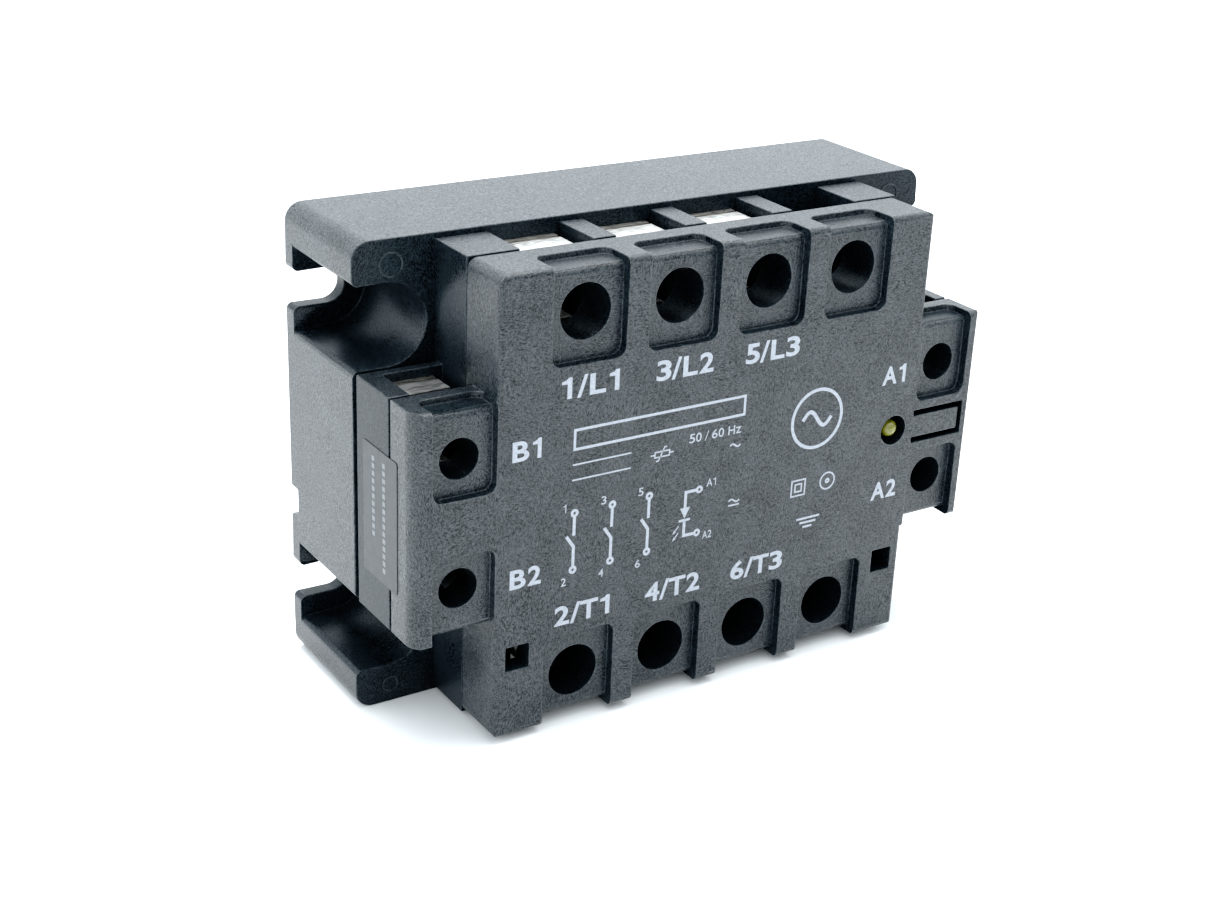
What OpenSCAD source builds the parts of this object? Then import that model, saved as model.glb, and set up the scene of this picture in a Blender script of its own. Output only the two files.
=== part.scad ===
// Three-pole solid state relay for panel or heatsink mounting.
// Origin: the middle of the box around the part, at its bottom. +Z is up, with the line terminals on top.
// The terminals face -Y and the metal base plate faces +Y.
// Inside the modules, x runs from the middle, y is the depth behind the cover's face,
// and z runs from the middle of the height. place() moves that frame to the origin.

/* [Overall] */
// Width of the base housing
base_w = 103; // [102:0.5:106]
// Height of the base housing
base_h = 74; // [74:0.5:78]
// Depth from the cover's face to the mounting face
depth = 42; // [42:0.5:45]

/* [Base housing] */
// Depth of the base housing
base_d = 22.8; // [22.6:0.1:23]
// Radius of the base housing's four corners
corner_r = 2.8; // [1:0.1:4]
// Thickness of the feet that the mounting screws hold
foot_t = 2.6; // [2:0.1:2.9]
// Width of the mounting slots, for M5 screws
slot_w = 5.5; // [5.2:0.1:6]
// Width of the round recess in front of each slot
bowl_w = 12.5; // [11.5:0.1:12.8]
// Rounding of the corners where the slots and recesses meet the housing's ends
mouth_r = 1; // [0.4:0.1:1.4]
// Distance between the slots' round ends, across
slot_pitch_x = 92; // [91.5:0.1:93]
// Distance between the slots, up
slot_pitch_z = 48.5; // [48.2:0.1:49]
// Thickness of the housing's front wall
front_wall_t = 2; // [1.6:0.1:2.4]

/* [Base plate] */
// Width of the metal plate
plate_w = 77; // [74.5:0.5:78]
// Height of the metal plate
plate_h = 69; // [68.5:0.1:70]
// Thickness of the metal plate
plate_t = 3; // [2.9:0.1:3.2]

/* [Front cover] */
// Width of the cover between its wings
cover_w = 77.2; // [77:0.1:78]
// Height of the cover
cover_h = 72; // [72:0.1:73]
// Depth of the cover's sides
cover_d = 9.3; // [9.1:0.1:9.5]
// Thickness of the cover's front
cover_front_t = 3.4; // [3:0.1:3.8]
// Thickness of the cover's sides
cover_wall_t = 2; // [1.6:0.1:2.4]
// Radius of the cover's front edges
edge_r = 1; // [0.5:0.1:1.4]
// Rounding of the cover's four corners, seen from the front
cover_corner_r = 1.6; // [0.5:0.1:2]
// Height of the wings that carry the control terminals
wing_h = 36; // [35.6:0.1:36]
// Distance from the middle to the left wing's side
left_wing_x = 51.35; // [51:0.05:51.4]
// Distance from the middle to the right wing's side
right_wing_x = 50.4; // [50:0.1:51.3]
// Depth of the wings' cover
wing_cover_d = 7.6; // [7.4:0.1:7.8]
// Radius of the left wing's outer edge
left_wing_r = 3.2; // [1:0.1:3.4]
// Width of the label on the left wing's side
label_w = 10.7; // [10:0.1:11.5]
// Height of the label
label_h = 20.4; // [19:0.1:21]
// Distance from the cover's face to the label
label_y = 5.4; // [5:0.1:6]
// Thickness of the label's film
label_t = 0.1; // [0.08:0.01:0.15]
// Width of the recess around each power access hole
pad_w = 12.2; // [11.6:0.1:12.6]
// Depth of the recess around each access hole
pad_depth = 1.5; // [1:0.1:1.8]
// Side of the two square windows
window_w = 3.9; // [3.4:0.1:4.2]
// Diameter of the hole for the indicator
led_hole_d = 5; // [4.4:0.1:5.4]

/* [Power terminals] */
// Distance between neighbouring poles
pole_pitch = 16; // [15.9:0.05:16]
// Distance between the line row and the load row
row_pitch = 57.2; // [57:0.1:57.4]
// Diameter of the screwdriver access holes
access_d = 8.3; // [7.8:0.1:8.5]
// Width of the wire cells
cell_w = 12.1; // [11.8:0.1:12.3]
// Thread diameter of the M5 screws, less running clearance
m5_d = 4.9; // [4.85:0.01:4.96]
// Head diameter of the M5 screws
m5_head_d = 8.6; // [8.4:0.1:8.8]
// Length of the M5 screws under the head
m5_len = 12; // [10:0.5:12]

/* [Control terminals] */
// Distance from the middle to the control terminals
ctrl_x = 43.8; // [43.7:0.1:43.9]
// Distance between the two control terminals of a wing
ctrl_pitch = 20; // [19.8:0.1:20.2]
// Diameter of the control access holes
ctrl_access_d = 6.1; // [5.6:0.1:6.1]
// Thread diameter of the M3 screws, less running clearance
m3_d = 2.9; // [2.85:0.01:2.96]
// Head diameter of the M3 screws
m3_head_d = 6.2; // [6.1:0.1:6.3]
// Length of the M3 screws under the head
m3_len = 8; // [7:0.5:8]

/* [Hidden] */

// Cuts reach this far past the faces they open
past = 0.6;
// Sides of a full circle
round_fn = 48;

poles = 4;
fitted_poles = 3;
row_z = row_pitch / 2;
ctrl_z = ctrl_pitch / 2;
wing_z = wing_h / 2;

// Depths of the layers, behind the cover's face
base_front = depth - base_d;
cavity_front = base_front + front_wall_t;
plate_front = depth - plate_t;
body_gap = 0.4;
body_front = cover_d + body_gap;
wing_body_front = wing_cover_d + 0.5;
wing_body_back = base_front - 0.9;
body_side_in = 0.1;
body_rise = 0.15;

// Sunk lands around the access holes
pad_reach = 14.6;
pad_top_step = 1;
pad_top_d = 6.1;
pad_r = 1.6;
ctrl_pad_in = cover_w / 2;
ctrl_pad_out = 48.6;
ctrl_pad_reach = 13.6;
ctrl_pad_top_d = 5.4;
boss_wall = 1.5;

// Power terminal: conductor plate, clamp and screw
plate_y = base_front - 1.3;
conductor_t = 1.2;
clamp_gap = 0.7;
clamp_t = 1.3;
clamp_w = 10;
clamp_out = 5.9;
clamp_in = 6;
clamp_lip_t = 1;
clamp_lip_d = 4.5;
head_gap = 0.05;
m5_head_h = 3;
m5_hole_d = 5;
well_d = 6.8;
well_wall = 1.3;
well_end = cavity_front + 8;
leg_w = 8;
leg_t = 1;
leg_z = row_z - 6.2;
foot_len = 7.4;

// Control terminal, the same way at its smaller size
ctrl_plate_y = 15.6;
ctrl_conductor_t = 1;
ctrl_clamp_gap = 0.5;
ctrl_clamp_t = 1;
ctrl_clamp_w = 7.4;
ctrl_clamp_out = 6.6;
ctrl_clamp_in = 5.4;
ctrl_lip_d = 3.9;
m3_head_h = 2.3;
m3_hole_d = 3;
ctrl_well_d = 4.2;
ctrl_well_wall = 1;
ctrl_well_end = cavity_front + 2.6;
ctrl_leg_w = 3.2;
ctrl_leg_t = 0.8;
ctrl_cell_in = cover_w / 2 - body_side_in;
ctrl_cell_out = 48;
ctrl_cell_z = 3.6;

// Power section, stacked on the base plate
tile_t = 1;
tile_w = 14.5;
tile_h = 51;
copper_t = 0.4;
copper_w = 13.2;
copper_in = 1;
copper_out = 24.5;
chip_t = 0.6;
chip_w = 8.5;
tile_front = plate_front - tile_t;
copper_front = tile_front - copper_t;
chip_front = copper_front - chip_t;
clip_t = 0.5;
clip_w = 2.4;
gate_pin_w = 0.7;
potting_front = 32;

// Circuit board and what it carries
board_front = 29;
board_t = 1.6;
cavity_x = 37;
cavity_z = 34.2;
side_cavity_x = 49.3;
side_cavity_z = 16;

led_x = 34.4;
led_z = 0.2;
led_r = 1.5;
led_rim_r = 1.9;
led_centre_y = 1.6;
led_back_y = 6.2;
led_lead_gap = 1.27;
led_lead_w = 0.5;
led_slot = [3.6, 1.8];

window_x = 34.6;
window_z = -23;

black = [0.11, 0.11, 0.12];
nickel = [0.8, 0.8, 0.78];
steel = [0.72, 0.72, 0.7];
copper = [0.78, 0.45, 0.28];

function pole_x(i) = (i - (poles - 1) / 2) * pole_pitch;

// ---- placing and extruding ----

module place() {
    translate([0, -depth / 2, base_h / 2]) children();
}

// Extrudes a drawing in x and z from depth a to depth b
module along_y(a, b) {
    translate([0, b, 0]) rotate([90, 0, 0]) linear_extrude(b - a) children();
}

// Extrudes a drawing in y and z from x = a to x = b
module along_x(a, b) {
    translate([a, 0, 0]) rotate([90, 0, 90]) linear_extrude(b - a) children();
}

// Extrudes a drawing in x and y from z = a to z = b
module along_z(a, b) {
    translate([0, 0, a]) linear_extrude(b - a) children();
}

module box(lo, hi) {
    translate(lo) cube(hi - lo);
}

// A round bar along y, at x and z, from depth a to depth b
module bar(x, z, r, a, b) {
    translate([x, b, z]) rotate([90, 0, 0]) cylinder(r = r, h = b - a, $fn = round_fn);
}

// A rectangle from lo to hi whose corners are quarter circles
module rounded(lo, hi, r) {
    translate([lo.x + r, lo.y]) square([hi.x - lo.x - 2 * r, hi.y - lo.y]);
    translate([lo.x, lo.y + r]) square([hi.x - lo.x, hi.y - lo.y - 2 * r]);
    for (x = [lo.x + r, hi.x - r], y = [lo.y + r, hi.y - r])
        translate([x, y]) circle(r, $fn = round_fn);
}

// What a quarter circle of radius r leaves of a square corner at p, for p on the low side
module corner_waste(p, r, side) {
    translate(p) mirror([side < 0 ? 1 : 0, 0]) difference() {
        translate([-past, -past]) square(r + past);
        translate([r, r]) circle(r, $fn = round_fn);
    }
}

// A rectangle with its two corners at the low end of the second axis rounded
module nosed(a0, a1, b0, b1, r0, r1) {
    difference() {
        translate([a0, b0]) square([a1 - a0, b1 - b0]);
        corner_waste([a0, b0], r0, 1);
        corner_waste([a1, b0], r1, -1);
    }
}

// A box whose front edges are rounded: r0 at x0, r1 at x1, and edge_r above and below
module soft_box(x0, x1, z, y1, r0, r1) {
    intersection() {
        along_z(-z, z) nosed(x0, x1, 0, y1, r0, r1);
        along_x(x0 - past, x1 + past) rotate(90) mirror([0, 1]) nosed(-z, z, 0, y1, edge_r, edge_r);
    }
}

// Both rows of an arrangement: as drawn for the upper row, and mirrored for the lower one
module both_rows() {
    children();
    mirror([0, 0, 1]) children();
}

module both_sides() {
    children();
    mirror([1, 0, 0]) children();
}

module upright(upper) {
    mirror([0, 0, upper ? 0 : 1]) children();
}

// ---- base housing ----

// What is cut away to round one corner of a slot's mouth
module mouth_corner() {
    difference() {
        translate([0, -past]) square([mouth_r + past, mouth_r + past]);
        translate([0, mouth_r]) circle(mouth_r, $fn = round_fn);
    }
}

// The slot or recess of width w, open to the outside, drawn for the upper right corner
module open_slot(w) {
    translate([slot_pitch_x / 2, slot_pitch_z / 2]) {
        circle(d = w, $fn = round_fn);
        translate([0, -w / 2]) square([base_w, w]);
        for (side = [-1, 1])
            mirror([0, side < 0 ? 1 : 0]) translate([(base_w - slot_pitch_x) / 2 - mouth_r, w / 2]) mouth_corner();
    }
}

module cavity_outline() {
    translate([-cavity_x, -cavity_z]) square([2 * cavity_x, 2 * cavity_z]);
    translate([-side_cavity_x, -side_cavity_z]) square([2 * side_cavity_x, 2 * side_cavity_z]);
}

module screw_wells(extra) {
    for (i = [0 : fitted_poles - 1])
        bar(pole_x(i), row_z, well_d / 2 + extra * well_wall, cavity_front - past, well_end + extra);
    both_sides() bar(ctrl_x, ctrl_z, ctrl_well_d / 2 + extra * ctrl_well_wall, cavity_front - past, ctrl_well_end + extra);
}

// A notch in the back edge of each side, for lifting the part off its surface
notch_lo = -13.4;
notch_hi = -8.4;
notch_deep = 2.4;

module base_housing() {
    color(black) place() difference() {
        union() {
            difference() {
                along_y(base_front, depth)
                    rounded([-base_w / 2, -base_h / 2], [base_w / 2, base_h / 2], corner_r);
                along_y(cavity_front, plate_front) cavity_outline();
            }
            both_rows() screw_wells(1);
        }
        both_sides() both_rows() {
            along_y(base_front - past, depth - foot_t) open_slot(bowl_w);
            along_y(base_front, depth + past) open_slot(slot_w);
        }
        along_y(plate_front, depth + past)
            square([plate_w, plate_h], center = true);
        both_rows() {
            screw_wells(0);
            for (i = [0 : fitted_poles - 1]) {
                bar(pole_x(i), row_z, 4.2, base_front - past, cavity_front);
                box([pole_x(i) - leg_w / 2 - 0.3, base_front - past, leg_z - 0.3],
                    [pole_x(i) + leg_w / 2 + 0.3, cavity_front + past, leg_z + leg_t + 0.3]);
            }
            both_sides() {
                bar(ctrl_x, ctrl_z, ctrl_well_d / 2, base_front - past, cavity_front);
                box([ctrl_x - ctrl_leg_w / 2 - 0.3, base_front - past, ctrl_z - ctrl_clamp_in - 0.2],
                    [ctrl_x + ctrl_leg_w / 2 + 0.3, cavity_front + past, ctrl_z - ctrl_clamp_in + ctrl_leg_t + 0.2]);
            }
        }
        both_sides() along_x(base_w / 2 - 3, base_w / 2 + past) polygon([
            [depth - notch_deep, notch_lo + 0.8], [depth - notch_deep, notch_hi],
            [depth + past, notch_hi], [depth + past, notch_lo]]);
        along_y(base_front - past, cavity_front + past)
            translate([led_x, led_z]) square(led_slot, center = true);
    }
}

module base_plate() {
    color(nickel) place() along_y(plate_front, depth)
        rounded([-plate_w / 2, -plate_h / 2], [plate_w / 2, plate_h / 2], 0.8);
}

// ---- terminal body ----

// One wing, whose front steps back beside the cover's side wall
module wing_body(side, outer_x, main_x) {
    mirror([side < 0 ? 1 : 0, 0, 0]) {
        box([cover_w / 2 + 0.3, wing_body_front, -wing_z], [outer_x, wing_body_back, wing_z]);
        box([main_x - past, body_front, -wing_z], [outer_x, wing_body_back, wing_z]);
    }
}

module terminal_body() {
    main_x = cover_w / 2 - body_side_in;
    main_z = cover_h / 2 + body_rise;
    color(black) place() difference() {
        union() {
            box([-main_x, body_front, -main_z], [main_x, base_front, main_z]);
            wing_body(-1, left_wing_x, main_x);
            wing_body(1, right_wing_x - 0.2, main_x);
            both_sides() snap_post();
        }
        both_rows() {
            for (i = [0 : poles - 1])
                box([pole_x(i) - cell_w / 2, body_front - past, row_z - 8.6],
                    [pole_x(i) + cell_w / 2, base_front + past, main_z + past]);
            both_sides() {
                box([ctrl_cell_in, wing_body_front - past, ctrl_cell_z],
                    [ctrl_cell_out, ctrl_plate_y + ctrl_conductor_t, wing_z + past]);
                bar(ctrl_x, ctrl_z, 2.7, ctrl_plate_y, wing_body_back + past);
                box([ctrl_x - ctrl_leg_w / 2 - 0.3, ctrl_plate_y, ctrl_z - ctrl_clamp_in - 0.2],
                    [ctrl_x + ctrl_leg_w / 2 + 0.3, wing_body_back + past, ctrl_z - ctrl_clamp_in + ctrl_leg_t + 0.2]);
            }
        }
        // Tray between the rows, which the indicator's leads cross
        box([-main_x + 2.2, body_front - past, -17.5], [main_x - 2.2, base_front - 2, 17.5]);
        along_y(body_front, base_front + past)
            translate([led_x, led_z]) square(led_slot, center = true);
    }
}

// Post with a hooked tip that the cover snaps over, seen through the square window
module snap_post() {
    box([window_x - 1.5, 5, window_z - 1.5], [window_x + 1.5, body_front + past, window_z + 0.6]);
    box([window_x - 1.5, 5, window_z - 1.5], [window_x + 1.5, 6.4, window_z + 1.5]);
}

// ---- front cover ----

// What is cut away above a sunk land, drawn for the upper row
module pad_cut(x0, x1, top, reach, top_d) {
    difference() {
        intersection() {
            along_y(-past, top_d) rounded([x0, top - reach], [x1, top + 4], pad_r);
            along_z(top - reach - past, top + past) rounded([x0, -4], [x1, top_d], pad_r);
        }
        along_x(x0 - past, x1 + past) rotate(90) mirror([0, 1])
            translate([0, pad_depth]) nosed(0, top - pad_top_step, 0, depth, 0.01, edge_r);
    }
}

module cover_bosses() {
    both_rows() {
        for (i = [0 : poles - 1])
            bar(pole_x(i), row_z, access_d / 2 + boss_wall, cover_front_t - past, cover_d - 0.3);
        both_sides() bar(ctrl_x, ctrl_z, ctrl_access_d / 2 + 1.3, cover_front_t - past, wing_cover_d - 0.2);
    }
    bar(led_x, led_z, led_hole_d / 2 + 1, cover_front_t - past, cover_front_t + 1.6);
}

module cover_shell() {
    half_w = cover_w / 2;
    difference() {
        union() {
            intersection() {
                soft_box(-half_w, half_w, cover_h / 2, cover_d, edge_r, edge_r);
                along_y(-past, cover_d + past)
                    rounded([-half_w, -cover_h / 2], [half_w, cover_h / 2], cover_corner_r);
            }
            soft_box(-left_wing_x, 0, wing_z, wing_cover_d, left_wing_r, 0.01);
            soft_box(0, right_wing_x, wing_z, wing_cover_d, 0.01, 0.8);
        }
        box([-half_w + cover_wall_t, cover_front_t, -cover_h / 2 + cover_wall_t + 0.6],
            [half_w - cover_wall_t, cover_d + past, cover_h / 2 - cover_wall_t - 0.6]);
        box([-left_wing_x + 2.4, cover_front_t, -wing_z + cover_wall_t],
            [-half_w - 0.6, wing_cover_d + past, wing_z - cover_wall_t]);
        box([half_w + 0.6, cover_front_t, -wing_z + cover_wall_t],
            [right_wing_x - 1.8, wing_cover_d + past, wing_z - cover_wall_t]);
    }
}

// Slit on three sides of a springy tongue in the right wing
module tongue_slit() {
    lo = [38.5, -2.8];
    hi = [49, 2.8];
    slit = 0.9;
    difference() {
        translate(lo) square(hi - lo);
        translate([lo.x - past, lo.y + slit]) square([hi.x - lo.x - slit + past, hi.y - lo.y - 2 * slit]);
    }
}

module front_cover() {
    color(black) place() difference() {
        union() {
            cover_shell();
            cover_bosses();
        }
        both_rows() {
            for (i = [0 : poles - 1]) {
                pad_cut(pole_x(i) - pad_w / 2, pole_x(i) + pad_w / 2, cover_h / 2, pad_reach, pad_top_d);
                bar(pole_x(i), row_z, access_d / 2, -past, cover_d + past);
            }
            both_sides() {
                pad_cut(ctrl_pad_in, ctrl_pad_out, wing_z, ctrl_pad_reach, ctrl_pad_top_d);
                bar(ctrl_x, ctrl_z, ctrl_access_d / 2, -past, cover_d + past);
            }
        }
        bar(led_x, led_z, led_hole_d / 2, -past, cover_d);
        along_y(-past, cover_front_t + past) {
            for (x = [-window_x, window_x])
                translate([x, window_z]) square(window_w, center = true);
            tongue_slit();
        }
    }
}

// Label across the seam on the left wing's side
module seal_label() {
    color([0.3, 0.31, 0.32]) place()
        along_x(-left_wing_x - label_t, -left_wing_x)
            rounded([label_y, -1 - label_h / 2], [label_y + label_w, label_h / 2 - 1], 0.4);
}

// ---- terminals ----

// Conductor plate with a threaded collar and a leg that goes back to the power section
module conductor(upper, x) {
    color(nickel) place() upright(upper) difference() {
        union() {
            box([x - 5.1, plate_y, leg_z], [x + 5.1, plate_y + conductor_t, row_z + clamp_out]);
            bar(x, row_z, 3.9, plate_y + conductor_t - 0.2, cavity_front - 0.1);
            box([x - leg_w / 2, plate_y, leg_z], [x + leg_w / 2, copper_front, leg_z + leg_t]);
            box([x - leg_w / 2, copper_front - leg_t, leg_z + leg_t - foot_len],
                [x + leg_w / 2, copper_front, leg_z + leg_t]);
        }
        bar(x, row_z, m5_hole_d / 2, plate_y - past, cavity_front + past);
    }
}

// Clamp: a plate with two lips bent towards the screw's head
module clamp(x, z, w, back, t, z_in, z_out, lip_t, lip_d, hole_d) {
    difference() {
        box([x - w / 2, back - lip_d, z - z_in], [x + w / 2, back, z + z_out]);
        box([x - w, back - lip_d - past, z - z_in + lip_t], [x + w, back - t, z + z_out - lip_t]);
        bar(x, z, hole_d / 2, back - t - past, back + past);
    }
}

// Screw with a slotted cross recess, its head's underside at depth y
module screw(x, z, y, d, head_d, head_h, length) {
    slot = head_d * 0.14;
    translate([x, y, z]) difference() {
        union() {
            rotate([90, 0, 0]) rotate_extrude($fn = round_fn) polygon([
                [0, 0], [head_d / 2 - 0.3, 0], [head_d / 2, 0.3], [head_d / 2, head_h * 0.7],
                [head_d / 2 - 0.5, head_h * 0.95], [head_d / 2 - 1.2, head_h], [0, head_h]]);
            rotate([-90, 0, 0]) cylinder(d = d, h = length - 0.6, $fn = round_fn);
            translate([0, length - 0.6, 0]) rotate([-90, 0, 0])
                cylinder(d1 = d, d2 = d - 1, h = 0.6, $fn = round_fn);
        }
        box([-head_d, -head_h - past, -slot / 2], [head_d, -head_h * 0.55, slot / 2]);
        for (turn = [0, 90]) rotate([0, turn, 0])
            box([-head_d * 0.27, -head_h - past, -slot * 0.6], [head_d * 0.27, -head_h * 0.3, slot * 0.6]);
    }
}

module power_clamp(upper, x) {
    color(nickel) place() upright(upper)
        clamp(x, row_z, clamp_w, plate_y - clamp_gap, clamp_t, clamp_in, clamp_out, clamp_lip_t, clamp_lip_d, 5.5);
}

module power_screw(upper, x) {
    color(steel) place() upright(upper)
        screw(x, row_z, plate_y - clamp_gap - clamp_t - head_gap, m5_d, m5_head_d, m5_head_h, m5_len);
}

module control_conductor(upper, x) {
    color(nickel) place() upright(upper) difference() {
        union() {
            box([x - ctrl_clamp_w / 2, ctrl_plate_y, ctrl_z - ctrl_clamp_in],
                [x + ctrl_clamp_w / 2, ctrl_plate_y + ctrl_conductor_t, ctrl_z + ctrl_clamp_out]);
            bar(x, ctrl_z, 2.4, ctrl_plate_y + ctrl_conductor_t - 0.2, wing_body_back - 0.1);
            box([x - ctrl_leg_w / 2, ctrl_plate_y, ctrl_z - ctrl_clamp_in],
                [x + ctrl_leg_w / 2, board_front, ctrl_z - ctrl_clamp_in + ctrl_leg_t]);
        }
        bar(x, ctrl_z, m3_hole_d / 2, ctrl_plate_y - past, wing_body_back + past);
    }
}

module control_clamp(upper, x) {
    color(nickel) place() upright(upper)
        clamp(x, ctrl_z, ctrl_clamp_w, ctrl_plate_y - ctrl_clamp_gap, ctrl_clamp_t, ctrl_clamp_in, ctrl_clamp_out,
            0.8, ctrl_lip_d, 3.5);
}

module control_screw(upper, x) {
    color(steel) place() upright(upper)
        screw(x, ctrl_z, ctrl_plate_y - ctrl_clamp_gap - ctrl_clamp_t - head_gap, m3_d, m3_head_d, m3_head_h, m3_len);
}

// ---- power section ----

module power_substrates() {
    color("white") place() for (i = [0 : fitted_poles - 1])
        box([pole_x(i) - tile_w / 2, tile_front, -tile_h / 2], [pole_x(i) + tile_w / 2, plate_front, tile_h / 2]);
}

module copper_tracks() {
    color(copper) place() both_rows() for (i = [0 : fitted_poles - 1])
        box([pole_x(i) - copper_w / 2, copper_front, copper_in], [pole_x(i) + copper_w / 2, tile_front, copper_out]);
}

module thyristor_chips() {
    color([0.35, 0.36, 0.4]) place() both_rows() for (i = [0 : fitted_poles - 1])
        box([pole_x(i) - chip_w / 2, chip_front, chip_w / 2], [pole_x(i) + chip_w / 2, copper_front, chip_w * 1.5]);
}

// One clip from the upper chip to the lower track, and one the other way round
module clip_pair(x) {
    for (turn = [0, 180]) translate([x, 0, 0]) rotate([0, turn, 0]) {
        box([-3.4, chip_front - clip_t, -3.8], [-3.4 + clip_w, chip_front, 10.6]);
        box([-3.4, chip_front - clip_t, -3.8], [-3.4 + clip_w, copper_front, -1.4]);
    }
}

module cathode_clips() {
    color(copper) place() for (i = [0 : fitted_poles - 1]) clip_pair(pole_x(i));
}

module gate_pins() {
    half = gate_pin_w / 2;
    color(nickel) place() for (i = [0 : fitted_poles - 1], s = [-1, 1])
        translate([pole_x(i) + s * 3, 0, s * 11])
            box([-half, board_front + board_t, -half], [half, chip_front, half]);
}

// Room that a power conductor's leg and foot take up, in the upper row
module leg_room(x) {
    box([x - leg_w / 2, cavity_front, leg_z], [x + leg_w / 2, copper_front, leg_z + leg_t]);
    box([x - leg_w / 2, copper_front - leg_t, leg_z + leg_t - foot_len],
        [x + leg_w / 2, copper_front, leg_z + leg_t]);
}

module potting_compound() {
    color([0.07, 0.07, 0.08]) difference() {
        place() along_y(potting_front, plate_front) cavity_outline();
        power_substrates();
        copper_tracks();
        thyristor_chips();
        cathode_clips();
        gate_pins();
        thermal_switch();
        place() both_rows() for (i = [0 : fitted_poles - 1]) leg_room(pole_x(i));
    }
}

// ---- control electronics ----

module circuit_board() {
    color([0.1, 0.35, 0.2]) place() along_y(board_front, board_front + board_t) {
        square([72, 41], center = true);
        square([94, 27], center = true);
    }
}

// A block of size s (x, depth, z) on the board's front face, at x and z
module on_board(x, z, s) {
    box([x - s.x / 2, board_front - s.y, z - s.z / 2], [x + s.x / 2, board_front, z + s.z / 2]);
}

module drive_optocouplers() {
    color([0.9, 0.9, 0.88]) place() for (i = [0 : fitted_poles - 1]) on_board(pole_x(i), 14, [8.4, 3.6, 6.4]);
}

module snubber_capacitors() {
    color([0.75, 0.6, 0.2]) place() for (i = [0 : fitted_poles - 1]) on_board(pole_x(i), -14, [12, 6.6, 6]);
}

module snubber_resistors() {
    color([0.3, 0.5, 0.6]) place() for (i = [0 : fitted_poles - 1])
        translate([pole_x(i) - 5, board_front - 1.8, 6.6]) rotate([0, 90, 0]) cylinder(r = 1.6, h = 10, $fn = round_fn);
}

module varistors() {
    color([0.15, 0.3, 0.6]) place() for (i = [0 : fitted_poles - 1])
        bar(pole_x(i), -3.6, 5.2, board_front - 4, board_front);
}

module input_rectifier() {
    color([0.12, 0.12, 0.12]) place() on_board(26, 11, [6.4, 2.6, 4.8]);
}

module current_regulator() {
    color([0.12, 0.12, 0.12]) place() on_board(26, -9, [4.6, 1.8, 2.6]);
}

// Over-temperature contact on the base plate, with two leads up to the board
module thermal_switch() {
    color([0.2, 0.2, 0.22]) place() {
        box([19, 34.6, -4.5], [29, plate_front, 4.5]);
        for (x = [21.5, 26.5])
            box([x - 0.4, board_front + board_t, -0.4], [x + 0.4, 34.8, 0.4]);
    }
}

module status_led() {
    color([0.85, 0.75, 0.1]) place() translate([led_x, 0, led_z]) {
        translate([0, led_centre_y, 0]) sphere(r = led_r, $fn = round_fn);
        bar(0, 0, led_r, led_centre_y, led_back_y - 1);
        bar(0, 0, led_rim_r, led_back_y - 1, led_back_y);
    }
}

module led_leads() {
    half = led_lead_w / 2;
    color(nickel) place() for (s = [-1, 1])
        translate([led_x + s * led_lead_gap, 0, led_z])
            box([-half, led_back_y, -half], [half, board_front, half]);
}

base_plate();
base_housing();
terminal_body();
front_cover();
seal_label();
potting_compound();
power_substrates();
copper_tracks();
thyristor_chips();
cathode_clips();
gate_pins();
circuit_board();
drive_optocouplers();
snubber_capacitors();
snubber_resistors();
varistors();
input_rectifier();
current_regulator();
thermal_switch();
status_led();
led_leads();
conductor(true, pole_x(0));  // line_plate_1
conductor(true, pole_x(1));  // line_plate_2
conductor(true, pole_x(2));  // line_plate_3
conductor(false, pole_x(0));  // load_plate_1
conductor(false, pole_x(1));  // load_plate_2
conductor(false, pole_x(2));  // load_plate_3
power_clamp(true, pole_x(0));  // line_clamp_1
power_clamp(true, pole_x(1));  // line_clamp_2
power_clamp(true, pole_x(2));  // line_clamp_3
power_clamp(false, pole_x(0));  // load_clamp_1
power_clamp(false, pole_x(1));  // load_clamp_2
power_clamp(false, pole_x(2));  // load_clamp_3
power_screw(true, pole_x(0));  // line_screw_1
power_screw(true, pole_x(1));  // line_screw_2
power_screw(true, pole_x(2));  // line_screw_3
power_screw(false, pole_x(0));  // load_screw_1
power_screw(false, pole_x(1));  // load_screw_2
power_screw(false, pole_x(2));  // load_screw_3
control_conductor(true, ctrl_x);  // control_plate_a1
control_conductor(false, ctrl_x);  // control_plate_a2
control_conductor(true, -ctrl_x);  // control_plate_b1
control_conductor(false, -ctrl_x);  // control_plate_b2
control_clamp(true, ctrl_x);  // control_clamp_a1
control_clamp(false, ctrl_x);  // control_clamp_a2
control_clamp(true, -ctrl_x);  // control_clamp_b1
control_clamp(false, -ctrl_x);  // control_clamp_b2
control_screw(true, ctrl_x);  // control_screw_a1
control_screw(false, ctrl_x);  // control_screw_a2
control_screw(true, -ctrl_x);  // control_screw_b1
control_screw(false, -ctrl_x);  // control_screw_b2
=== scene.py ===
import math

import bmesh
import bpy
from mathutils import Matrix, Vector


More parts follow.
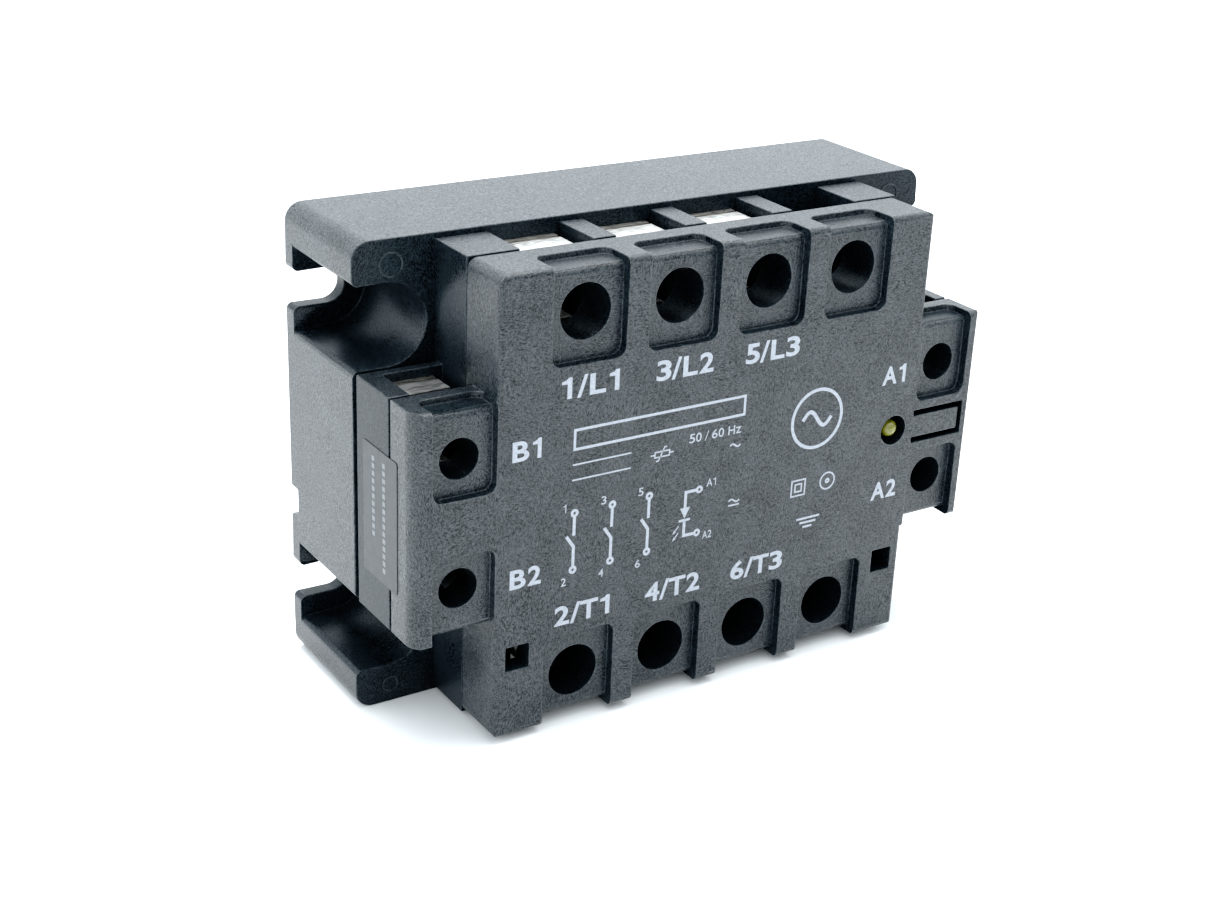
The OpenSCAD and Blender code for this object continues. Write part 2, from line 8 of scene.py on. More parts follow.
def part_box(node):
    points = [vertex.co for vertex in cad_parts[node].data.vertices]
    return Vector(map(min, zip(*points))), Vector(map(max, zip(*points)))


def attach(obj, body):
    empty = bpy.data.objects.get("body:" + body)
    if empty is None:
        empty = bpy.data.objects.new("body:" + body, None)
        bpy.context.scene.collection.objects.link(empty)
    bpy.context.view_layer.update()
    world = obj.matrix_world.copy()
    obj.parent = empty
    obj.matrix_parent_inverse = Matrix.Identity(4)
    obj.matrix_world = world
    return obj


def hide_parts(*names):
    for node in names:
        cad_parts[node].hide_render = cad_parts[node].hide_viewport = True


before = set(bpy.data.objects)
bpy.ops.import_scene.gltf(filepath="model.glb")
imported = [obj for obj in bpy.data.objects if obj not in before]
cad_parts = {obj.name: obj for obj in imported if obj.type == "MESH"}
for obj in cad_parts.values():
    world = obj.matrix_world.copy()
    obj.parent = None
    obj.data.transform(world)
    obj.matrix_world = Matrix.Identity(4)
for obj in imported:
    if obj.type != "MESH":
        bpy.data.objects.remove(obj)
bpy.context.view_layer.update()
mm = 0.001
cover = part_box("front_cover")
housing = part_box("base_housing")
faceY = cover[0].y
middleZ = (housing[0].z + housing[1].z) / 2


class Wire:  # a shader socket that takes part in plain arithmetic
    def __init__(self, finish, socket):
        self.finish = finish
        self.socket = socket

    def sum(self, operation, first, second):
        return self.finish.node("Math", {"operation": operation}, {0: first, 1: second})

    def __add__(self, other):
        return self.sum("ADD", self, other)

    def __radd__(self, other):
        return self.sum("ADD", other, self)

    def __sub__(self, other):
        return self.sum("SUBTRACT", self, other)

    def __rsub__(self, other):
        return self.sum("SUBTRACT", other, self)

    def __mul__(self, other):
        return self.sum("MULTIPLY", self, other)

    def __rmul__(self, other):
        return self.sum("MULTIPLY", other, self)


class Finish:  # one material and the nodes in it
    def __init__(self, name, store=bpy.data.materials):
        self.material = store.new(name)
        self.material.use_nodes = True
        self.tree = self.material.node_tree
        self.tree.nodes.clear()

    def node(self, kind, settings=None, sockets=None, out=0):
        made = self.tree.nodes.new("ShaderNode" + kind)
        for name, value in (settings or {}).items():
            if name == "stops":
                self.fillRamp(made.color_ramp, value)
            else:
                setattr(made, name, value)
        for name, value in (sockets or {}).items():
            self.plug(made.inputs[name], value)
        return Wire(self, made.outputs[out]) if made.outputs else made

    def plug(self, socket, value):
        if isinstance(value, Wire):
            self.tree.links.new(value.socket, socket)
        elif socket.type == "RGBA":
            socket.default_value = (*value, 1)
        else:
            socket.default_value = value

    def fillRamp(self, ramp, stops):
        while len(ramp.elements) < len(stops):
            ramp.elements.new(0.5)
        for element, (place, colour) in zip(ramp.elements, stops):
            element.position = place
            element.color = (colour, colour, colour, 1)

    def place(self):  # the object's own coordinates, in millimetres
        point = self.node("TexCoord", out="Object")
        return self.node("VectorMath", {"operation": "SCALE"}, {0: point, "Scale": 1 / mm})

    def stretched(self, point, factors):
        return self.node("VectorMath", {"operation": "MULTIPLY"}, {0: point, 1: factors})

    def noise(self, point, size, detail=2, roughness=0.5):  # size in millimetres
        return self.node("TexNoise", {}, {"Vector": point, "Scale": 1 / size, "Detail": detail,
                                          "Roughness": roughness})

    def ramp(self, value, *stops):
        return self.node("ValToRGB", {"stops": stops}, {0: value})

    def blend(self, factor, first, second):
        return self.node("Mix", {"data_type": "RGBA"}, {0: factor, 6: first, 7: second}, out=2)

    def bump(self, height, depth):  # depth in millimetres
        return self.node("Bump", {}, {"Height": height, "Distance": depth * mm, "Strength": 1})

    def edges(self, radius):  # 0 on flat faces, rising on corners and edges
        rounded = self.node("Bevel", {"samples": 4}, {"Radius": radius * mm})
        plain = self.node("NewGeometry", out="Normal")
        match = self.node("VectorMath", {"operation": "DOT_PRODUCT"}, {0: rounded, 1: plain},
                          out="Value")
        return self.ramp(match, (0.86, 1.0), (0.995, 0.0))

    def surface(self, **sockets):
        shader = self.node("BsdfPrincipled", {}, sockets)
        self.node("OutputMaterial", {}, {"Surface": shader})
        return self.material


def blackPlastic(name, gloss, grain, sheen, shine):
    # edge is the colour of the lighter rims: partly edge wear, partly a painted highlight where
    # light catches the rounded edges
    look = {"dark": (0.0020, 0.0030, 0.0038), "light": (0.033, 0.043, 0.050),
            "edge": (0.15, 0.17, 0.18), "rounding": 0.26, "wearAndHighlight": 0.75, "wearAndHighlightSize": 1.2,
            "driftSize": 7, "swirlSize": 6, "pushSize": 9, "push": 6, "fibreSize": 0.36,
            "level": (0.6, 1.5, 2.0), "upright": (2.0, 1.5, 0.6), "speckleSize": 0.26,
            "toneFrom": 0.42, "toneTo": 0.59}
    made = Finish(name)
    point = made.place()
    drift = made.noise(point, look["driftSize"], detail=3)
    swirl = made.noise(point, look["swirlSize"], detail=1)
    push = made.node("TexNoise", {}, {"Vector": point, "Scale": 1 / look["pushSize"], "Detail": 2},
                     out=1)
    flow = made.node("VectorMath", {"operation": "MULTIPLY_ADD"},
                     {0: push, 1: (look["push"],) * 3, 2: point})
    level, upright = (made.noise(made.stretched(flow, look[way]), look["fibreSize"], detail=4,
                                 roughness=0.66) for way in ("level", "upright"))
    turn = made.ramp(swirl, (0.40, 0.0), (0.60, 1.0))
    fibre = turn * level + (1 - turn) * upright
    speckle = made.noise(point, look["speckleSize"], detail=3, roughness=0.75)
    tone = made.ramp(fibre * 0.52 + speckle * 0.38 + drift * 0.10,
                     (look["toneFrom"], 0.0), (look["toneTo"], 1.0))
    colour = made.blend(tone, look["dark"], look["light"])
    # edge wear and painted highlight: rims of edges and corners are painted lighter in patches,
    # partly as wear and partly as a painted highlight
    wearAndHighlightPatches = made.noise(point, look["wearAndHighlightSize"], detail=5, roughness=0.7)
    wearAndHighlight = made.edges(look["rounding"]) * made.ramp(wearAndHighlightPatches, (0.36, 0.1), (0.62, 1.0))
    colour = made.blend(wearAndHighlight * look["wearAndHighlight"], colour, look["edge"])
    smooth, dull = gloss
    clouds = made.ramp(fibre * 0.5 + drift * 0.5, (0.3, 0.0), (0.7, 1.0))
    rough = smooth + (dull - smooth) * clouds
    normal = made.bump(fibre * 0.5 + speckle * 0.6, grain)
    return made.surface(**{"Base Color": colour, "Roughness": rough, "Normal": normal,
                           "Coat Weight": tone * sheen, "Coat Roughness": dull * 0.9,
                           "Specular IOR Level": shine})


def brightNickel(name, base, shade, rough, dent):
    made = Finish(name)
    point = made.place()
    cloud = made.noise(point, 1.8, detail=3)
    rolled = made.noise(made.stretched(point, (0.25, 1.0, 3.0)), 0.35, detail=3, roughness=0.6)
    colour = made.blend(made.ramp(cloud, (0.35, 0.0), (0.65, 1.0)), base, shade)
    gloss = rough + 0.18 * made.ramp(rolled, (0.35, 0.0), (0.65, 1.0))
    normal = made.bump(cloud * 0.8 + rolled * 0.2, dent)
    return made.surface(**{"Base Color": colour, "Roughness": gloss, "Normal": normal,
                           "Metallic": 1.0})


def mottled(name, first, second, size, rough, grain, **uniform):
    made = Finish(name)
    point = made.place()
    cloud = made.noise(point, size, detail=4, roughness=0.6)
    fine = made.noise(point, size / 6, detail=2)
    tone = made.ramp(cloud * 0.7 + fine * 0.3, (0.38, 0.0), (0.62, 1.0))
    gloss = rough + 0.14 * tone
    sockets = {"Base Color": made.blend(tone, first, second), "Roughness": gloss,
               "Normal": made.bump(fine, grain)}
    return made.surface(**sockets, **uniform)


plastic = blackPlastic("black_plastic_grained", gloss=(0.32, 0.50), grain=0.045, sheen=1.1,
                       shine=0.30)
polished = blackPlastic("black_plastic_polished", gloss=(0.24, 0.36), grain=0.016, sheen=0.10,
                        shine=0.16)
# metals: main colour, shaded colour, roughness, depth of the dents in millimetres
nickelClamp = brightNickel("bright_nickel_clamp", (0.93, 0.92, 0.89), (0.86, 0.85, 0.82), 0.30,
                           0.006)
nickelPlate = brightNickel("nickel_conductor", (0.80, 0.77, 0.71), (0.62, 0.60, 0.56), 0.26, 0.015)
zinc = brightNickel("zinc_screw_plating", (0.66, 0.67, 0.66), (0.50, 0.52, 0.54), 0.30, 0.012)
basePlate = brightNickel("nickel_base_plate", (0.33, 0.325, 0.31), (0.24, 0.235, 0.225), 0.36,
                         0.012)
copper = brightNickel("rolled_copper", (0.78, 0.42, 0.26), (0.62, 0.31, 0.19), 0.30, 0.010)
pins = brightNickel("tinned_pins", (0.78, 0.77, 0.74), (0.66, 0.65, 0.63), 0.28, 0.006)
# other finishes: two colours, size of the clouds, roughness, depth of the grain in millimetres
labelInk = mottled("grey_label_ink", (0.15, 0.16, 0.17), (0.22, 0.235, 0.25), 0.6, 0.50, 0.004)
whiteInk = mottled("white_ink", (0.30, 0.325, 0.375), (0.42, 0.445, 0.49), 0.5, 0.50, 0.006)
lens = mottled("amber_lens", (0.17, 0.165, 0.015), (0.27, 0.26, 0.04), 1.2, 0.10, 0.004,
               **{"Transmission Weight": 0.25, "IOR": 1.5, "Coat Weight": 0.6})
label = mottled("grey_film_label", (0.014, 0.017, 0.020), (0.026, 0.031, 0.034), 1.5, 0.34, 0.004)
potting = mottled("potting_resin", (0.020, 0.018, 0.016), (0.035, 0.032, 0.028), 4.0, 0.30, 0.03)
ceramic = mottled("white_ceramic", (0.76, 0.75, 0.71), (0.84, 0.83, 0.80), 0.8, 0.50, 0.006)
silicon = mottled("silicon_chip", (0.16, 0.17, 0.19), (0.24, 0.25, 0.28), 1.0, 0.22, 0.002,
                  Metallic=0.6)
board = mottled("green_board", (0.016, 0.085, 0.036), (0.024, 0.120, 0.052), 3.0, 0.30, 0.008)
opto = mottled("white_optocoupler_case", (0.74, 0.74, 0.71), (0.82, 0.82, 0.80), 0.6, 0.45, 0.010)
capacitor = mottled("capacitor_case", (0.62, 0.42, 0.05), (0.72, 0.50, 0.08), 1.5, 0.34, 0.010)
resistor = mottled("resistor_body", (0.32, 0.44, 0.48), (0.40, 0.52, 0.56), 0.8, 0.45, 0.010)
varistor = mottled("varistor_coating", (0.02, 0.09, 0.30), (0.04, 0.13, 0.40), 1.0, 0.35, 0.020)
chipCase = mottled("black_chip_case", (0.018, 0.018, 0.019), (0.034, 0.034, 0.036), 0.4, 0.55,
                   0.010)
switchCase = mottled("switch_case", (0.020, 0.020, 0.021), (0.034, 0.034, 0.036), 0.8, 0.40, 0.010)

slotFinish = {
    "nickel_plate": basePlate, "black_plastic": plastic, "grey_label": label, "potting": potting,
    "ceramic": ceramic, "copper": copper, "silicon": silicon, "pins": pins, "board": board,
    "optocoupler_case": opto, "capacitor_case": capacitor, "resistor_body": resistor,
    "varistor_body": varistor, "chip_case": chipCase, "switch_case": switchCase, "amber_lens": lens,
    "nickel_terminal": nickelPlate, "nickel_clamp": nickelClamp, "zinc_screw": zinc,
}
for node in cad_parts.values():
    for slot in node.material_slots:
        slot.material = slotFinish[slot.material.name.split(".")[0]]
print("finishes:", len(bpy.data.materials))


def hang(name, mesh):  # an object for a mesh that moves with the relay
    piece = bpy.data.objects.new(name, mesh)
    bpy.context.scene.collection.objects.link(piece)
    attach(piece, "relay")
    return piece


# the same moulding with its sharp edges rounded, and polished where isPolished says so
def softened(nodeName, radius, isPolished, setBack=0.0):
    look = {"slot": "black_plastic", "sameSpot": 0.001, "flat": 0.4, "sharp": 28, "narrow": 1.4}
    shape = bmesh.new()
    shape.from_mesh(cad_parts[nodeName].data)
    bmesh.ops.remove_doubles(shape, verts=shape.verts, dist=look["sameSpot"] * mm)
    bmesh.ops.dissolve_limit(shape, angle_limit=math.radians(look["flat"]), verts=shape.verts,
                             edges=shape.edges)
    for corner in shape.verts:
        if corner.co.y < faceY + look["sameSpot"] * mm:
            corner.co.y += setBack * mm
    for face in shape.faces:
        face.smooth = True
        face.material_index = 1 if isPolished(face.calc_center_median(), face.normal) else 0
    weight = shape.edges.layers.float.new("bevel_weight_edge")
    for edge in shape.edges:  # beside a narrow strip they stay sharp, or the rounding would fold
        strips = [face.calc_area() / max(side.calc_length() for side in face.edges)
                  for face in edge.link_faces]
        sharp = len(strips) == 2 and edge.calc_face_angle() > math.radians(look["sharp"])
        roomy = sharp and min(strips) > look["narrow"] * radius * mm
        edge[weight] = 1.0 if roomy else 0.0
        edge.smooth = not sharp or edge[weight] > 0
    mesh = bpy.data.meshes.new(nodeName + "_moulding")
    shape.to_mesh(mesh)
    shape.free()
    mesh.materials.append(plastic)
    mesh.materials.append(polished)
    piece = hang(nodeName + "_moulding", mesh)
    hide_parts(nodeName)
    bevel = piece.modifiers.new("rounded edges", "BEVEL")
    bevel.width = radius * mm
    bevel.segments = 2
    bevel.limit_method = "WEIGHT"
    bevel.use_clamp_overlap = False
    bevel.miter_outer = "MITER_ARC"
    flat = piece.modifiers.new("flat faces stay flat", "WEIGHTED_NORMAL")
    flat.mode = "FACE_AREA"
    flat.weight = 100
    flat.keep_sharp = True


def housingInside(centre, normal):  # the front wall and the screw recesses
    look = {"recessDeep": 13, "recessFrom": 17.5, "recessTo": 31.5, "endSkin": 0.1}
    fromEnd, up = (housing[1].x - abs(centre.x)) / mm, abs(centre.z - middleZ) / mm
    inRecess = fromEnd < look["recessDeep"] and look["recessFrom"] < up < look["recessTo"]
    onEnd = abs(normal.x) > 0.9 and fromEnd < look["endSkin"]
    return normal.y < -0.5 or (inRecess and not onEnd)


def bodyInside(centre, normal):  # everything but the top and the bottom
    return abs(normal.z) < 0.5


def coverInside(centre, normal):  # the walls of the holes and of the sunk lands
    look = {"mainAcross": 37.5, "mainUp": 34.9, "wingFrom": 38.7, "wingTo": 48.75,
            "wingUp": 17.4}
    across, up = abs(centre.x) / mm, abs(centre.z - middleZ) / mm
    onMain = across < look["mainAcross"] and up < look["mainUp"]
    onWing = look["wingFrom"] < across < look["wingTo"] and up < look["wingUp"]
    return normal.y > -0.5 and (onMain or onWing)


inkThick = 0.03  # the cover's face is set back by this, so that the ink ends in its box
softened("front_cover", radius=0.16, isPolished=coverInside, setBack=inkThick)
softened("terminal_body", radius=0.18, isPolished=bodyInside)
softened("base_housing", radius=0.22, isPolished=housingInside)
print("mouldings softened")


# where a letter's ink starts and ends, and the step to the next, as shares of its size
letterShare = {
    "0": (0.04, 0.52, 0.56), "1": (0.07, 0.38, 0.56), "2": (0.03, 0.51, 0.56),
    "3": (0.03, 0.52, 0.56), "4": (0.03, 0.53, 0.56), "5": (0.03, 0.52, 0.56),
    "6": (0.03, 0.52, 0.56), "/": (-0.02, 0.30, 0.28), "A": (0.02, 0.70, 0.72),
    "B": (0.08, 0.67, 0.72), "H": (0.07, 0.65, 0.72), "L": (0.08, 0.58, 0.61),
    "T": (0.01, 0.60, 0.61), "z": (0.02, 0.48, 0.50), " ": (0.0, 0.28, 0.28)}


class Relief:  # thin shapes on a face towards the front, drawn in millimetres from its middle
    def __init__(self, back, thick):
        self.shape = bmesh.new()
        self.back = back
        self.thick = thick

    def at(self, x, z, share):
        return Vector((x * mm, self.back - share * self.thick * mm, middleZ + z * mm))

    def slab(self, outline):
        front = [self.shape.verts.new(self.at(x, z, 1)) for x, z in outline]
        back = [self.shape.verts.new(self.at(x, z, 0)) for x, z in outline]
        self.shape.faces.new(front)
        self.shape.faces.new(back[::-1])
        for i in range(len(front)):
            self.shape.faces.new((front[i - 1], front[i], back[i], back[i - 1]))

    def bar(self, left, low, right, high):
        self.slab([(left, low), (right, low), (right, high), (left, high)])

    def outline(self, left, low, right, high, line):  # an open rectangle
        inner = line * 1.01
        for z in (low, high - line):
            self.bar(left, z, right, z + line)
        for x in (left, right - line):
            self.bar(x, low + inner, x + line, high - inner)

    def ring(self, x, z, outer, inner, steps=40):
        turns = [math.radians(360.0 * i / steps) for i in range(steps)]
        loops = [[self.shape.verts.new(self.at(x + r * math.cos(t), z + r * math.sin(t), share))
                  for t in turns] for r, share in ((outer, 1), (inner, 1), (inner, 0), (outer, 0))]
        for i in range(steps):
            for a in range(4):
                b = (a + 1) % 4
                self.shape.faces.new((loops[a][i - 1], loops[a][i], loops[b][i], loops[b][i - 1]))

    def stroke(self, points, width):  # a band of even width along a line with mitred corners
        points = [Vector(p) for p in points]
        left, right = [], []
        for i, p in enumerate(points):
            ahead = (points[i + 1] - p).normalized() if i + 1 < len(points) else None
            behind = (p - points[i - 1]).normalized() if i else None
            run = ((ahead or behind) + (behind or ahead)).normalized()
            side = Vector((-run.y, run.x))
            half = width / 2 / max(0.3, run.dot(ahead or behind))
            left.append(p + side * half)
            right.append(p - side * half)
        self.slab(left + right[::-1])

    def words(self, text, left, right, low, high, bold=True):
        look = {"bold": 0.45, "light": 0.28, "boldCurve": 0.026, "lightCurve": 0.006, "small": 0.74}
        start = letterShare[text[0]][0]
        steps = [letterShare[sign][2] for sign in text]
        wide = (right - left) / (sum(steps[:-1]) + letterShare[text[-1]][1] - start)
        stem = look["bold"] if bold else look["light"]
        flag = 0.84 - 0.3 * stem
        drawn = {"1": [(1, 0), (1, 1), (1 - 0.8 * stem, 1), (0.9 - stem, 0.90), (0, 0.84),
                       (0, flag), (1 - stem, flag), (1 - stem, 0)],
                 "/": [(0, -0.03), (0.75 * stem, -0.03), (1, 1.03), (1 - 0.75 * stem, 1.03)]}
        for i, sign in enumerate(text):
            origin = left + wide * (sum(steps[:i]) - start)
            near, far = (origin + wide * share for share in letterShare[sign][:2])
            tall = (high - low) * (look["small"] if sign == "z" else 1)
            if sign in drawn:
                self.glyph(drawn[sign], near, far, low, tall)
            elif sign != " ":
                self.letter(sign, near, far, low, tall, look["boldCurve" if bold else "lightCurve"])

    def glyph(self, outline, near, far, low, tall):
        self.slab([(near + (far - near) * x, low + tall * z) for x, z in outline])

    def letter(self, sign, near, far, low, tall, heavy):
        data = bpy.data.curves.new("letter", "FONT")
        data.body = sign
        data.offset = heavy
        data.extrude = 1.0
        data.resolution_u = 5
        shape = bpy.data.objects.new("letter", data)
        mesh = bpy.data.meshes.new_from_object(shape)
        xs = [v.co.x for v in mesh.vertices]
        ys = [v.co.y for v in mesh.vertices]
        wide, high = (far - near) / (max(xs) - min(xs)), tall / (max(ys) - min(ys))
        for v in mesh.vertices:
            x, z = near + (v.co.x - min(xs)) * wide, low + (v.co.y - min(ys)) * high
            v.co = self.at(x, z, v.co.z / 2 + 0.5)
        self.shape.from_mesh(mesh)
        bpy.data.objects.remove(shape)

    def finished(self, name, finish):
        bmesh.ops.remove_doubles(self.shape, verts=self.shape.verts, dist=0.0002 * mm)
        bmesh.ops.recalc_face_normals(self.shape, faces=self.shape.faces)
        mesh = bpy.data.meshes.new(name)
        self.shape.to_mesh(mesh)
        self.shape.free()
        mesh.materials.append(finish)
        hang(name, mesh)


def middleOf(nodeName):  # in millimetres, across from the middle and up from mid-height
    low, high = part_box(nodeName)
    return (low.x + high.x) / 2 / mm, ((low.z + high.z) / 2 - middleZ) / mm


def printTerminalNumbers(ink):
    look = {"left": -4.45, "right": 5.65, "tall": 3.2, "lineGap": -12.1, "loadGap": 9.1,
            "slim": 0.5, "controlInset": 10.2, "controlHalf": 2.6, "controlLow": -1.6,
            "controlHigh": 1.5}
    rows = {"line": (look["lineGap"], ("1/L1", "3/L2", "5/L3")),
            "load": (look["loadGap"], ("2/T1", "4/T2", "6/T3"))}
    for row, (gap, marks) in rows.items():
        for pole, mark in enumerate(marks, 1):
            x, z = middleOf(f"{row}_screw_{pole}")
            right = x + look["right"] - (look["slim"] if mark[-1] == "1" else 0)
            ink.words(mark, x + look["left"], right, z + gap, z + gap + look["tall"])
    for mark in ("a1", "a2", "b1", "b2"):
        x, z = middleOf("control_screw_" + mark)
        centre = x - math.copysign(look["controlInset"], x)
        right = centre + look["controlHalf"] - (look["slim"] if mark[-1] == "1" else 0)
        ink.words(mark.upper(), centre - look["controlHalf"], right, z + look["controlLow"],
                  z + look["controlHigh"])


def printSwitches(ink):  # a contact for each pole, with its two numbers
    look = {"places": (-25.6, -19.1, -12.6), "top": -1.55, "bottom": -10.7, "dot": 0.66,
            "hole": 0.22, "line": 0.50, "open": -5.15, "tip": (-1.25, -5.1), "knee": -6.95,
            "numberLeft": -1.95, "numberRight": -1.1, "oneRight": -1.45, "above": (0.35, 1.65),
            "below": (-2.35, -1.05)}
    top, bottom, dot = look["top"], look["bottom"], look["dot"]
    for pole, x in enumerate(look["places"]):
        for z in (top, bottom):
            ink.ring(x, z, dot, look["hole"])
        ink.stroke([(x, top - dot), (x, look["open"])], look["line"])
        ink.stroke([(x + look["tip"][0], look["tip"][1]), (x, look["knee"]), (x, bottom + dot)],
                   look["line"])
        right = look["oneRight"] if pole == 0 else look["numberRight"]
        ink.words(str(2 * pole + 1), x + look["numberLeft"], x + right, top + look["above"][0],
                  top + look["above"][1], bold=False)
        ink.words(str(2 * pole + 2), x + look["numberLeft"], x + look["numberRight"],
                  bottom + look["below"][0], bottom + look["below"][1], bold=False)


def printInput(ink):  # the control input's diode, with its two arrows of light
    look = {"x": -5.95, "top": -2.35, "bottom": -9.55, "dotX": -3.5, "dot": 0.62, "hole": 0.22,
            "line": 0.5, "base": -4.9, "tip": -6.65, "half": 0.9, "barZ": -6.95, "barHalf": 1.0,
            "bar": 0.4, "leg": -7.2, "arrows": (0.0, 1.15), "ray": 0.2}
    x, top, bottom, dotX, dot = (look[key] for key in ("x", "top", "bottom", "dotX", "dot"))
    for z in (top, bottom):
        ink.ring(dotX, z, dot, look["hole"])
    ink.stroke([(dotX - dot, top), (x, top), (x, look["base"])], look["line"])
    ink.slab([(x - look["half"], look["base"]), (x, look["tip"]),
              (x + look["half"], look["base"])])
    ink.stroke([(x - look["barHalf"], look["barZ"]), (x + look["barHalf"], look["barZ"])],
               look["bar"])
    ink.stroke([(x, look["leg"]), (x, bottom), (dotX - dot, bottom)], look["line"])
    for drop in look["arrows"]:
        ink.stroke([(x - 1.0, -7.75 - drop), (x - 1.6, -8.45 - drop)], look["ray"])
        ink.slab([(x - 1.45, -8.65 - drop), (x - 2.05, -9.0 - drop), (x - 1.8, -8.3 - drop)])
    ink.words("A1", -2.2, -0.5, -2.2, -0.95, bold=False)
    ink.words("A2", -2.4, -0.7, -10.9, -9.65, bold=False)


def wave(x, z, wide, tall, steps=14):
    return [(x + wide * (i / steps - 0.5), z + tall * math.sin(2 * math.pi * i / steps) / 2)
            for i in range(steps + 1)]


def printSource(ink):  # plain signs for the supply and a blank field for a name
    look = {"centre": (18.3, 5.2), "outer": 5.1, "inner": 4.55, "wave": (5.6, 2.6), "line": 0.62,
            "signs": ((2.7, 3.7, 1.9, 0.5), (3.2, -5.6, 2.0, 0.5)), "under": (2.2, 4.2, -6.35),
            "thin": 0.26, "field": (-26.2, 8.3, 4.2, 11.7), "fieldLine": 0.42}
    ink.ring(*look["centre"], look["outer"], look["inner"], steps=64)
    ink.stroke(wave(*look["centre"], *look["wave"], 28), look["line"])
    ink.words("50 / 60 Hz", -5.9, 3.6, 5.6, 7.05, bold=False)
    for sign in look["signs"]:
        ink.stroke(wave(*sign), look["thin"])
    left, right, z = look["under"]
    ink.stroke([(left, z), (right, z)], look["thin"])
    ink.outline(*look["field"], look["fieldLine"])


def printVaristor(ink):
    look = {"rails": ((4.35, 4.57), (5.2, 5.42)), "left": -12.1, "right": -9.3, "line": 0.22,
            "ends": (-12.1, -9.52), "endLow": 4.58, "endHigh": 5.19, "leads": (-12.75, -9.29),
            "leadLong": 0.64, "leadLow": 4.77,
            "slash": [(-11.75, 3.85), (-11.35, 3.85), (-10.3, 5.95), (-9.9, 5.95)]}
    line = look["line"]
    for low, high in look["rails"]:
        ink.bar(look["left"], low, look["right"], high)
    for left in look["ends"]:
        ink.bar(left, look["endLow"], left + line, look["endHigh"])
    for left in look["leads"]:
        ink.bar(left, look["leadLow"], left + look["leadLong"], look["leadLow"] + line)
    ink.stroke(look["slash"], line)


def printPlainMarks(ink):  # plain shapes where marks of approval and ratings would go
    look = {"square": (15.7, -6.1), "halves": (1.45, 0.75), "line": 0.26, "disc": (21.5, -6.0),
            "rings": ((1.55, 1.27), (0.45, 0.12)), "earth": (18.2, -11.9), "bars": (4.6, 3.2, 1.8),
            "barStep": 0.75, "barThick": 0.35, "rules": (6.0, 3.6), "ruleLeft": -26.2,
            "ruleRight": -16.2, "ruleThick": 0.24}
    x, z = look["square"]
    for half in look["halves"]:
        ink.outline(x - half, z - half, x + half, z + half, look["line"])
    for outer, inner in look["rings"]:
        ink.ring(*look["disc"], outer, inner)
    x, top = look["earth"]
    for i, wide in enumerate(look["bars"]):
        low = top - look["barStep"] * i
        ink.bar(x - wide / 2, low, x + wide / 2, low + look["barThick"])
    for low in look["rules"]:
        ink.bar(look["ruleLeft"], low, look["ruleRight"], low + look["ruleThick"])


ink = Relief(faceY + inkThick * mm, inkThick)
for draw in (printTerminalNumbers, printSwitches, printInput, printSource, printVaristor,
             printPlainMarks):
    draw(ink)
ink.finished("front_print", whiteInk)
print("print on the cover")


def printLabel():  # two columns of plain dashes instead of wording
    look = {"columns": ((0.38, 0.87), (0.69, 0.68)), "long": 0.75, "gap": 0.42, "wide": 0.85,
            "start": 1.9, "thick": 0.02}
    low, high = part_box("seal_label")
    step = (look["long"] + look["gap"]) * mm
    size = Vector((look["thick"], look["wide"], look["long"])) * mm
    top = high.z - look["start"] * mm
    shape = bmesh.new()
    for across, share in look["columns"]:
        y = low.y + across * (high.y - low.y)
        for i in range(int(share * (high.z - low.z) / step)):
            centre = Vector((low.x - look["thick"] * mm / 2, y, top - i * step))
            bmesh.ops.create_cube(shape, size=1, matrix=Matrix.LocRotScale(centre, None, size))
    mesh = bpy.data.meshes.new("label_dashes")
    shape.to_mesh(mesh)
    shape.free()
    mesh.materials.append(labelInk)
    hang("label_dashes", mesh)


printLabel()


def addMouldMarks():  # a date ring on the cover, ejector pin marks on the housing's front wall
    look = {"ring": (-35.0, -0.1), "outer": 3.75, "inner": 1.15, "line": 0.13, "arrow": 0.6,
            "arrowWide": 0.14, "high": 0.9, "pins": ((45.4, 33.1, 1.9), (45.8, -34.0, 1.3)),
            "pinLine": 0.22, "pinHigh": 0.10}
    x, z = look["ring"]
    marks = Relief(faceY + inkThick * mm, inkThick * look["high"])
    marks.ring(x, z, look["outer"], look["outer"] - look["line"], steps=56)
    marks.ring(x, z, look["inner"], look["inner"] - look["line"], steps=28)
    marks.stroke([(x, z - look["arrow"]), (x, z + look["arrow"])], look["arrowWide"])
    marks.finished("mould_date_ring", plastic)
    pads = Relief(housing[0].y, look["pinHigh"])
    for x, z, radius in look["pins"]:
        for side in (-x, x):
            pads.ring(side, z, radius, radius - look["pinLine"], steps=36)
    pads.finished("ejector_marks", polished)


addMouldMarks()
print("mould marks")


def makeFloor():
    look = {"size": 6.0, "colour": (0.90, 0.90, 0.90), "shade": (0.93, 0.93, 0.93),
            "clouds": 60.0, "rough": 0.60, "grain": 0.01}
    finish = mottled("pale_floor", look["colour"], look["shade"], look["clouds"], look["rough"],
                     look["grain"])
    bpy.ops.mesh.primitive_plane_add(size=look["size"])
    floor = bpy.context.active_object
    floor.name = "floor"
    floor.data.materials.append(finish)


def softBox(name, place, aim, size, power):
    light = bpy.data.lights.new(name, "AREA")
    light.shape = "SQUARE"
    light.size = size
    light.energy = power
    lamp = bpy.data.objects.new(name, light)
    bpy.context.scene.collection.objects.link(lamp)
    lamp.location = place
    lamp.rotation_euler = (Vector(aim) - Vector(place)).to_track_quat("-Z", "Y").to_euler()


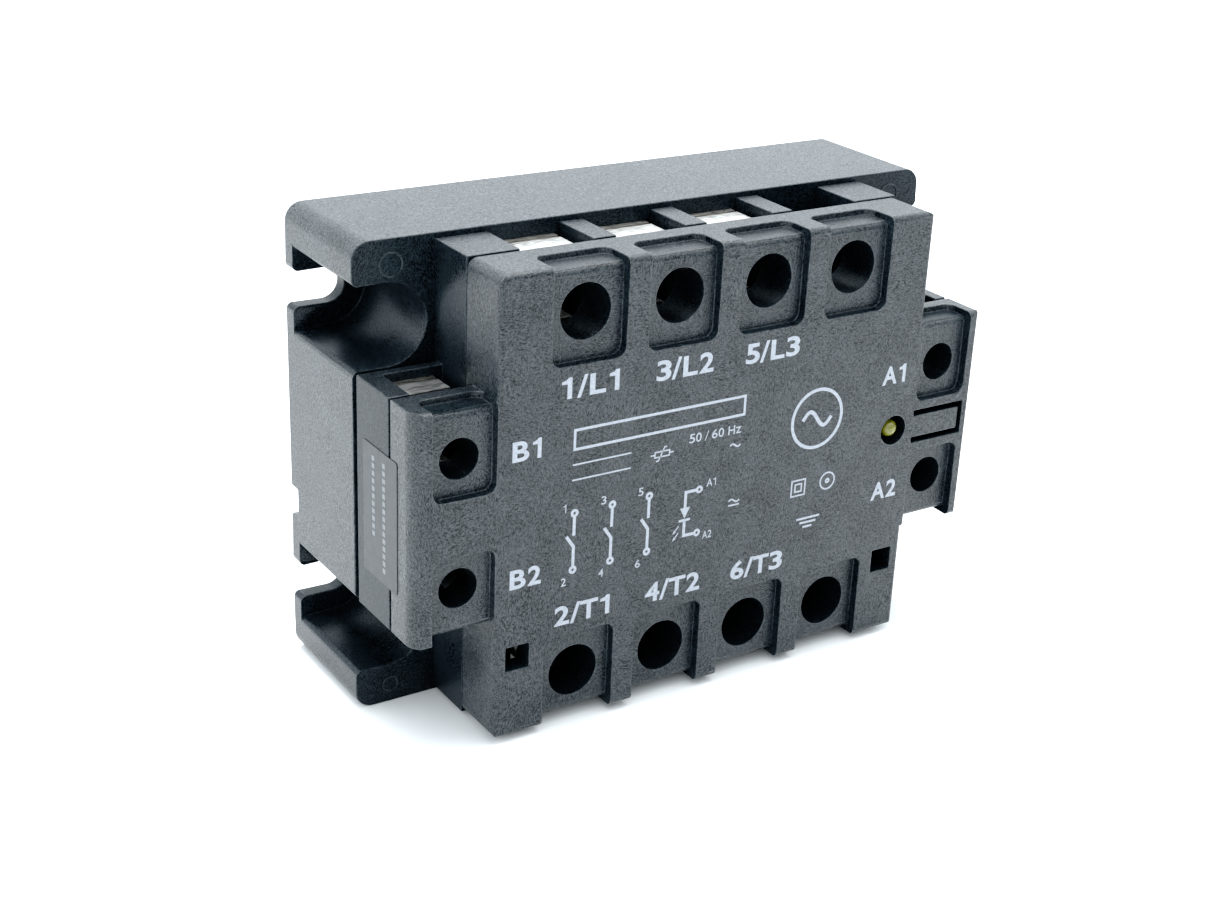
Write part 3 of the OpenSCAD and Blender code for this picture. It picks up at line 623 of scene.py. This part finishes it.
def makeStudio():  # a white light tent with its open side in front
    look = {"tent": 2.15, "openSide": 0.50, "colour": (0.885, 0.955, 1.0),
            "toTent": (-0.15, 0.45, 0.70), "tentFrom": 0.30, "tentTo": 0.62,
            "aim": (0.0, 0.0, 0.037), "lamp": (0.05, 0.10, 0.80), "lampSize": 0.60,
            "lampPower": 6.0, "toe": ((0.02, 0.005), (0.06, 0.042), (0.12, 0.115), (0.25, 0.25))}
    world = Finish("light_tent", bpy.data.worlds)
    toward = world.node("TexCoord", out="Generated")
    height = world.node("VectorMath", {"operation": "DOT_PRODUCT"}, {0: toward, 1: look["toTent"]},
                        out="Value")
    wall = world.ramp(height * 0.5 + 0.5, (look["tentFrom"], 0.0), (look["tentTo"], 1.0))
    strength = look["openSide"] + (look["tent"] - look["openSide"]) * wall
    lit = world.node("Background", {}, {"Strength": strength, "Color": look["colour"]})
    seen = world.node("Background", {}, {"Strength": 1.0, "Color": (1, 1, 1)})
    direct = world.node("LightPath", out="Is Camera Ray")
    mixed = world.node("MixShader", {}, {0: direct, 1: lit, 2: seen})
    world.node("OutputWorld", {}, {"Surface": mixed})
    bpy.context.scene.world = world.material
    softBox("overhead", look["lamp"], look["aim"], look["lampSize"], look["lampPower"])
    view = bpy.context.scene.view_settings
    view.view_transform = "Standard"
    view.use_curve_mapping = True  # deepens the darkest tones a little
    tones = view.curve_mapping.curves[3]
    for shade, shown in look["toe"]:
        tones.points.new(shade, shown)
    view.curve_mapping.update()


def makeCamera():
    look = {"turn": -33.96, "rise": 22.75, "roll": 2.73, "distance": 0.300, "lens": 55.85,
            "aim": (-0.00345, -0.00041, 0.03453), "shift": (-0.0153, -0.01055),
            "sensor": 36, "nearest": 0.01}
    turn, rise, roll = (math.radians(look[key]) for key in ("turn", "rise", "roll"))
    ahead = Vector((-math.sin(turn) * math.cos(rise), math.cos(turn) * math.cos(rise),
                    -math.sin(rise)))
    level = Vector((math.cos(turn), math.sin(turn), 0))
    upward = level.cross(ahead)
    right = level * math.cos(roll) + upward * math.sin(roll)
    above = right.cross(ahead)
    data = bpy.data.cameras.new("camera")
    data.lens = look["lens"]
    data.sensor_width = look["sensor"]
    data.shift_x, data.shift_y = look["shift"]
    data.clip_start = look["nearest"]
    camera = bpy.data.objects.new("camera", data)
    bpy.context.scene.collection.objects.link(camera)
    stand = Matrix((right, above, -ahead)).transposed().to_4x4()
    stand.translation = Vector(look["aim"]) - ahead * look["distance"]
    camera.matrix_world = stand
    bpy.context.scene.camera = camera


makeFloor()
makeStudio()
makeCamera()
print("studio ready")
